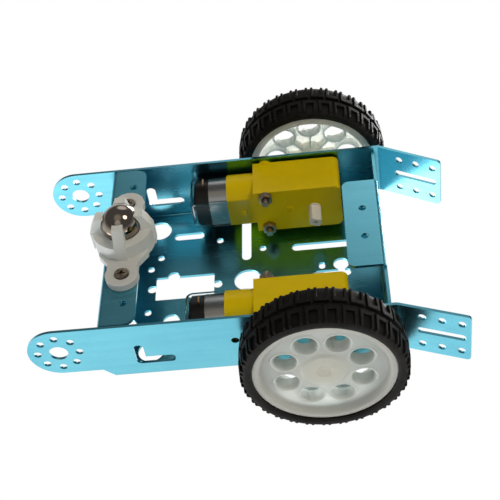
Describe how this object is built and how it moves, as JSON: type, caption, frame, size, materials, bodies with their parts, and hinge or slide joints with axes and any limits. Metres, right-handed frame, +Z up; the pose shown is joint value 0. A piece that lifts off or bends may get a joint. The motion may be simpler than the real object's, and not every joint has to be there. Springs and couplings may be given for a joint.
{
  "type": "two wheel robot car",
  "caption": "Folded blue sheet tray on two spoked wheels with yellow gear motors inside its walls and a steel ball caster under the front.",
  "frame": {"origin": "on the ground under the middle of the outer box, where the tyres and the ball rest at z = 0", "axes": "+Z up, -Y towards the front (the ball end), X along the wheel axle with the left side at +X"},
  "size_m": [0.1336, 0.1722, 0.065],
  "materials": {
    "blue_sheet": "blue anodised satin sheet",
    "white_nylon": "off white nylon",
    "ball_steel": "polished steel",
    "fixing_steel": "zinc plated steel",
    "yellow_plastic": "glossy yellow moulding",
    "gear_nylon": "white nylon",
    "rotor_steel": "laminated steel with copper windings",
    "can_steel": "nickel plated pressed steel",
    "magnet": "dark ferrite",
    "black_plastic": "black moulding",
    "terminal_brass": "tinned brass",
    "clear_plastic": "clear moulded strap",
    "rim_plastic": "milky translucent moulding",
    "tyre_rubber": "black rubber"
  },
  "bodies": {
    "car": {"chassis": "blue_sheet", "right_gearbox_outer": "yellow_plastic", "right_gearbox_inner": "yellow_plastic", "right_arbor_pins": "fixing_steel", "right_motor_can": "can_steel", "right_motor_magnets": "magnet", "right_motor_end_cap": "black_plastic", "right_motor_terminals": "terminal_brass", "right_motor_strap": "clear_plastic", "right_motor_screws": "fixing_steel", "right_motor_nuts": "fixing_steel", "left_gearbox_outer": "yellow_plastic", "left_gearbox_inner": "yellow_plastic", "left_arbor_pins": "fixing_steel", "left_motor_can": "can_steel", "left_motor_magnets": "magnet", "left_motor_end_cap": "black_plastic", "left_motor_terminals": "terminal_brass", "left_motor_strap": "clear_plastic", "left_motor_screws": "fixing_steel", "left_motor_nuts": "fixing_steel", "caster_body": "white_nylon", "caster_screws": "fixing_steel", "caster_nuts": "fixing_steel"},
    "right_wheel": {"right_rim": "rim_plastic", "right_tyre": "tyre_rubber", "right_output_shaft": "gear_nylon"},
    "right_idler": {"right_idler_gear": "gear_nylon"},
    "right_crown": {"right_crown_gear": "gear_nylon"},
    "right_rotor": {"right_motor_rotor": "rotor_steel", "right_motor_pinion": "gear_nylon"},
    "left_wheel": {"left_rim": "rim_plastic", "left_tyre": "tyre_rubber", "left_output_shaft": "gear_nylon"},
    "left_idler": {"left_idler_gear": "gear_nylon"},
    "left_crown": {"left_crown_gear": "gear_nylon"},
    "left_rotor": {"left_motor_rotor": "rotor_steel", "left_motor_pinion": "gear_nylon"},
    "ball": {"caster_ball": "ball_steel"}
  },
  "joints": [
    {"name": "right_wheel_spin", "type": "hinge", "parent": "car", "child": "right_wheel", "pos_m": [-0.03375, 0.03007, 0.0325], "axis": [1, 0, 0], "continuous": true},
    {"name": "right_idler_spin", "type": "hinge", "parent": "car", "child": "right_idler", "pos_m": [-0.03375, 0.02077, 0.0325], "axis": [1, 0, 0], "continuous": true},
    {"name": "right_crown_spin", "type": "hinge", "parent": "car", "child": "right_crown", "pos_m": [-0.03375, 0.01357, 0.0325], "axis": [1, 0, 0], "continuous": true},
    {"name": "right_rotor_spin", "type": "hinge", "parent": "car", "child": "right_rotor", "pos_m": [-0.03375, 0.00357, 0.0325], "axis": [0, 1, 0], "continuous": true},
    {"name": "left_wheel_spin", "type": "hinge", "parent": "car", "child": "left_wheel", "pos_m": [0.03375, 0.03007, 0.0325], "axis": [1, 0, 0], "continuous": true},
    {"name": "left_idler_spin", "type": "hinge", "parent": "car", "child": "left_idler", "pos_m": [0.03375, 0.02077, 0.0325], "axis": [1, 0, 0], "continuous": true},
    {"name": "left_crown_spin", "type": "hinge", "parent": "car", "child": "left_crown", "pos_m": [0.03375, 0.01357, 0.0325], "axis": [1, 0, 0], "continuous": true},
    {"name": "left_rotor_spin", "type": "hinge", "parent": "car", "child": "left_rotor", "pos_m": [0.03375, 0.00357, 0.0325], "axis": [0, 1, 0], "continuous": true},
    {"name": "ball_roll", "type": "hinge", "parent": "car", "child": "ball", "pos_m": [0, -0.04743, 0.008], "axis": [1, 0, 0], "continuous": true}
  ],
  "couplings": [
    {"joint": "right_idler_spin", "follows": "right_wheel_spin", "ratio": -3.4286},
    {"joint": "right_crown_spin", "follows": "right_wheel_spin", "ratio": 13.714},
    {"joint": "right_rotor_spin", "follows": "right_wheel_spin", "ratio": 48},
    {"joint": "left_idler_spin", "follows": "left_wheel_spin", "ratio": -3.4286},
    {"joint": "left_crown_spin", "follows": "left_wheel_spin", "ratio": 13.714},
    {"joint": "left_rotor_spin", "follows": "left_wheel_spin", "ratio": -48}
  ]
}
